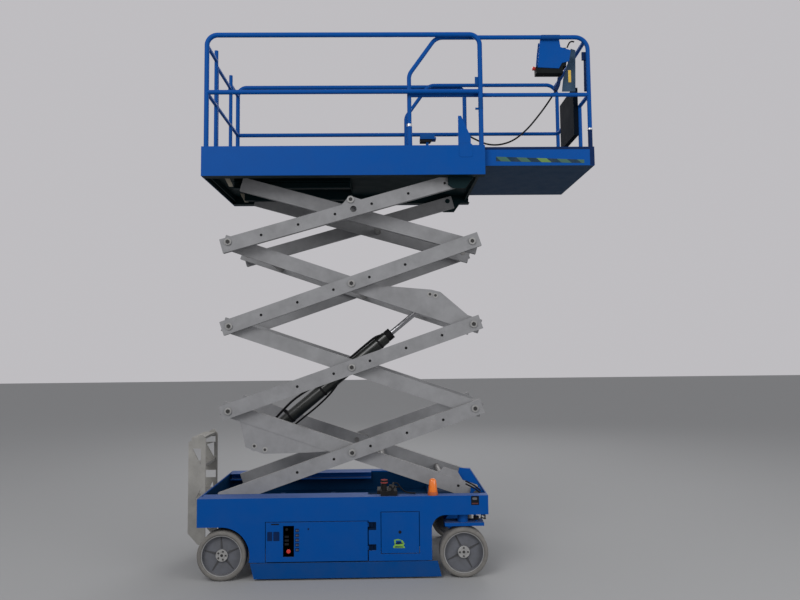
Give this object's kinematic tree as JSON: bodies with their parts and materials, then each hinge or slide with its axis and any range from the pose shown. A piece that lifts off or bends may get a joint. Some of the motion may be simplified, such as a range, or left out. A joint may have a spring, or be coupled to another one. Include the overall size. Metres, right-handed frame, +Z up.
{
  "type": "scissor lift",
  "caption": "Blue self-propelled scissor lift, platform raised: grey scissor arms on a lift cylinder, steered wheels, pothole guards, railed platform with rolled-out deck and rear ladder.",
  "frame": {"origin": "middle of the bounding box's bottom face, on the ground under the machine", "axes": "+X towards the steered end and the rolled-out deck, +Y towards the machine's left side, +Z up"},
  "size_m": [3.327, 1.17, 4.297],
  "materials": {
    "blue_paint": "semi-gloss royal blue paint, dusty",
    "dark_blue_paint": "satin dark blue paint, scuffed",
    "grey_paint": "satin grey paint",
    "ladder_paint": "weathered grey paint",
    "steel": "bare machined steel",
    "chrome_rod": "polished hard chrome",
    "black_paint": "satin black paint",
    "black_plastic": "matte black moulded plastic",
    "slider_plastic": "ivory slide plastic",
    "grey_tyre": "solid non-marking grey rubber, worn",
    "rim_paint": "dark grey paint",
    "beacon_lens": "translucent orange lens",
    "valve_red": "red knob on black valve block",
    "cable_black": "black cable sheath"
  },
  "bodies": {
    "chassis": {"side_frames": "blue_paint", "chassis_tray": "blue_paint", "chassis_core": "dark_blue_paint", "slide_channels": "blue_paint", "pivot_brackets": "blue_paint", "rear_axle": "blue_paint", "ladder": "ladder_paint", "beacons": "beacon_lens", "lowering_valve": "valve_red"},
    "module_right": {"module_door_right": "blue_paint", "ground_controls": "black_plastic", "battery_pack": "black_plastic"},
    "module_left": {"module_door_left": "blue_paint", "power_unit": "black_plastic"},
    "access_right": {"access_door_right": "blue_paint"},
    "access_left": {"access_door_left": "blue_paint"},
    "guard_right": {"pothole_guard_right": "dark_blue_paint"},
    "guard_left": {"pothole_guard_left": "dark_blue_paint"},
    "knuckle_right": {"yoke_right": "blue_paint"},
    "knuckle_left": {"yoke_left": "blue_paint"},
    "tie_rod": {"tie_rod": "black_paint"},
    "wheel_front_right": {"tyre_front_right": "grey_tyre", "rim_front_right": "rim_paint"},
    "wheel_front_left": {"tyre_front_left": "grey_tyre", "rim_front_left": "rim_paint"},
    "wheel_rear_right": {"tyre_rear_right": "grey_tyre", "rim_rear_right": "rim_paint"},
    "wheel_rear_left": {"tyre_rear_left": "grey_tyre", "rim_rear_left": "rim_paint"},
    "outer_1": {"outer_arms_1": "grey_paint"},
    "inner_1": {"inner_arms_1": "grey_paint", "pivot_pins_1": "steel"},
    "outer_2": {"outer_arms_2": "grey_paint"},
    "inner_2": {"inner_arms_2": "grey_paint", "pivot_pins_2": "steel"},
    "outer_3": {"outer_arms_3": "grey_paint"},
    "inner_3": {"inner_arms_3": "grey_paint", "pivot_pins_3": "steel"},
    "outer_4": {"outer_arms_4": "grey_paint"},
    "inner_4": {"inner_arms_4": "grey_paint", "pivot_pins_4": "steel"},
    "lower_blocks": {"lower_slide_blocks": "slider_plastic"},
    "upper_blocks": {"upper_slide_blocks": "slider_plastic"},
    "cylinder_rod": {"cylinder_rod": "chrome_rod"},
    "cylinder_barrel": {"cylinder_barrel": "black_paint"},
    "platform": {"platform_deck": "blue_paint", "guard_rails": "blue_paint", "rail_lever": "blue_paint"},
    "gate": {"entry_gate": "blue_paint"},
    "extension": {"extension_deck": "blue_paint", "extension_rails": "blue_paint", "platform_controls": "black_plastic", "manual_box": "black_plastic", "extension_pedal": "black_paint", "control_cable": "cable_black"}
  },
  "joints": [
    {"name": "lift", "type": "hinge", "parent": "chassis", "child": "inner_1", "pos_m": [0.6778, 0, 0.5904], "axis": [0, 1, 0], "range_deg": [-13.73, 45.07]},
    {"name": "centre_1", "type": "hinge", "parent": "inner_1", "child": "outer_1", "pos_m": [-0.30472, 0, 0.92737], "axis": [0, 1, 0], "range_deg": [-90.15, 27.47]},
    {"name": "left_1", "type": "hinge", "parent": "inner_1", "child": "outer_2", "pos_m": [-1.28724, 0, 1.26433], "axis": [0, 1, 0], "range_deg": [-90.15, 27.47]},
    {"name": "centre_2", "type": "hinge", "parent": "outer_2", "child": "inner_2", "pos_m": [-0.30472, 0, 1.6013], "axis": [0, 1, 0], "range_deg": [-27.47, 90.15]},
    {"name": "left_2", "type": "hinge", "parent": "inner_2", "child": "outer_3", "pos_m": [-1.28724, 0, 1.93827], "axis": [0, 1, 0], "range_deg": [-90.15, 27.47]},
    {"name": "centre_3", "type": "hinge", "parent": "outer_3", "child": "inner_3", "pos_m": [-0.30472, 0, 2.27524], "axis": [0, 1, 0], "range_deg": [-27.47, 90.15]},
    {"name": "left_3", "type": "hinge", "parent": "inner_3", "child": "outer_4", "pos_m": [-1.28724, 0, 2.6122], "axis": [0, 1, 0], "range_deg": [-90.15, 27.47]},
    {"name": "centre_4", "type": "hinge", "parent": "outer_4", "child": "inner_4", "pos_m": [-0.30472, 0, 2.94917], "axis": [0, 1, 0], "range_deg": [-27.47, 90.15]},
    {"name": "platform_pivot", "type": "hinge", "parent": "outer_4", "child": "platform", "pos_m": [0.55709, 0, 3.12717], "axis": [0, 1, 0], "range_deg": [-13.74, 45.08]},
    {"name": "lower_block_pivot", "type": "hinge", "parent": "outer_1", "child": "lower_blocks", "pos_m": [-1.28724, 0, 0.5904], "axis": [0, 1, 0], "range_deg": [-13.74, 45.08]},
    {"name": "upper_block_pivot", "type": "hinge", "parent": "inner_4", "child": "upper_blocks", "pos_m": [-1.16653, 0, 3.12717], "axis": [0, 1, 0], "range_deg": [-45.08, 13.74]},
    {"name": "rod_pivot", "type": "hinge", "parent": "inner_3", "child": "cylinder_rod", "pos_m": [0.37674, 0, 2.17568], "axis": [0, 1, 0], "range_deg": [-77.98, 23.76]},
    {"name": "cylinder_slide", "type": "slide", "parent": "cylinder_rod", "child": "cylinder_barrel", "axis": [-0.7753, 0, -0.6316], "range_m": [-0.2742, 0.8977]},
    {"name": "steer_right", "type": "hinge", "parent": "chassis", "child": "knuckle_right", "pos_m": [0.5545, -0.505, 0.405], "axis": [0, 0, 1], "range_deg": [-55, 55]},
    {"name": "steer_left", "type": "hinge", "parent": "chassis", "child": "knuckle_left", "pos_m": [0.5545, 0.505, 0.405], "axis": [0, 0, 1], "range_deg": [-55.1, 55.1]},
    {"name": "tie_rod_pivot", "type": "hinge", "parent": "knuckle_right", "child": "tie_rod", "pos_m": [0.6595, -0.505, 0.43], "axis": [0, 0, 1], "range_deg": [-55.1, 55.1]},
    {"name": "wheel_front_right_spin", "type": "hinge", "parent": "knuckle_right", "child": "wheel_front_right", "pos_m": [0.5545, -0.5215, 0.1865], "axis": [0, 1, 0], "continuous": true},
    {"name": "wheel_front_left_spin", "type": "hinge", "parent": "knuckle_left", "child": "wheel_front_left", "pos_m": [0.5545, 0.5215, 0.1865], "axis": [0, 1, 0], "continuous": true},
    {"name": "wheel_rear_right_spin", "type": "hinge", "parent": "chassis", "child": "wheel_rear_right", "pos_m": [-1.2955, -0.5215, 0.1865], "axis": [0, 1, 0], "continuous": true},
    {"name": "wheel_rear_left_spin", "type": "hinge", "parent": "chassis", "child": "wheel_rear_left", "pos_m": [-1.2955, 0.5215, 0.1865], "axis": [0, 1, 0], "continuous": true},
    {"name": "module_right_hinge", "type": "hinge", "parent": "chassis", "child": "module_right", "pos_m": [-0.1485, -0.573, 0.3195], "axis": [0, 0, 1], "range_deg": [0, 95]},
    {"name": "access_right_hinge", "type": "hinge", "parent": "chassis", "child": "access_right", "pos_m": [0.2055, -0.581, 0.346], "axis": [0, 0, 1], "range_deg": [0, 110]},
    {"name": "guard_right_hinge", "type": "hinge", "parent": "chassis", "child": "guard_right", "pos_m": [-0.3705, -0.565, 0.128], "axis": [1, 0, 0], "range_deg": [0, 85]},
    {"name": "module_left_hinge", "type": "hinge", "parent": "chassis", "child": "module_left", "pos_m": [-0.1485, 0.573, 0.3195], "axis": [0, 0, -1], "range_deg": [0, 95]},
    {"name": "access_left_hinge", "type": "hinge", "parent": "chassis", "child": "access_left", "pos_m": [0.2055, 0.581, 0.346], "axis": [0, 0, -1], "range_deg": [0, 110]},
    {"name": "guard_left_hinge", "type": "hinge", "parent": "chassis", "child": "guard_left", "pos_m": [-0.3705, 0.565, 0.128], "axis": [-1, 0, 0], "range_deg": [0, 85]},
    {"name": "gate_hinge", "type": "hinge", "parent": "platform", "child": "gate", "pos_m": [-1.4465, 0.26, 3.80697], "axis": [0, 0, 1], "range_deg": [0, 90]},
    {"name": "extension_slide", "type": "slide", "parent": "platform", "child": "extension", "axis": [1, 0, 0], "range_m": [-0.891, 0]}
  ],
  "couplings": [
    {"joint": "centre_1", "follows": "lift", "ratio": -2},
    {"joint": "left_1", "follows": "lift", "ratio": -2},
    {"joint": "centre_2", "follows": "lift", "ratio": 2},
    {"joint": "left_2", "follows": "lift", "ratio": -2},
    {"joint": "centre_3", "follows": "lift", "ratio": 2},
    {"joint": "left_3", "follows": "lift", "ratio": -2},
    {"joint": "centre_4", "follows": "lift", "ratio": 2},
    {"joint": "platform_pivot", "follows": "lift", "ratio": 1},
    {"joint": "lower_block_pivot", "follows": "lift", "ratio": 1},
    {"joint": "upper_block_pivot", "follows": "lift", "ratio": -1},
    {"joint": "rod_pivot", "follows": "lift", "ratio": -1.73},
    {"joint": "cylinder_slide", "follows": "lift", "m_per_rad": 1.14},
    {"joint": "steer_left", "follows": "steer_right", "ratio": 1},
    {"joint": "tie_rod_pivot", "follows": "steer_right", "ratio": -1}
  ]
}
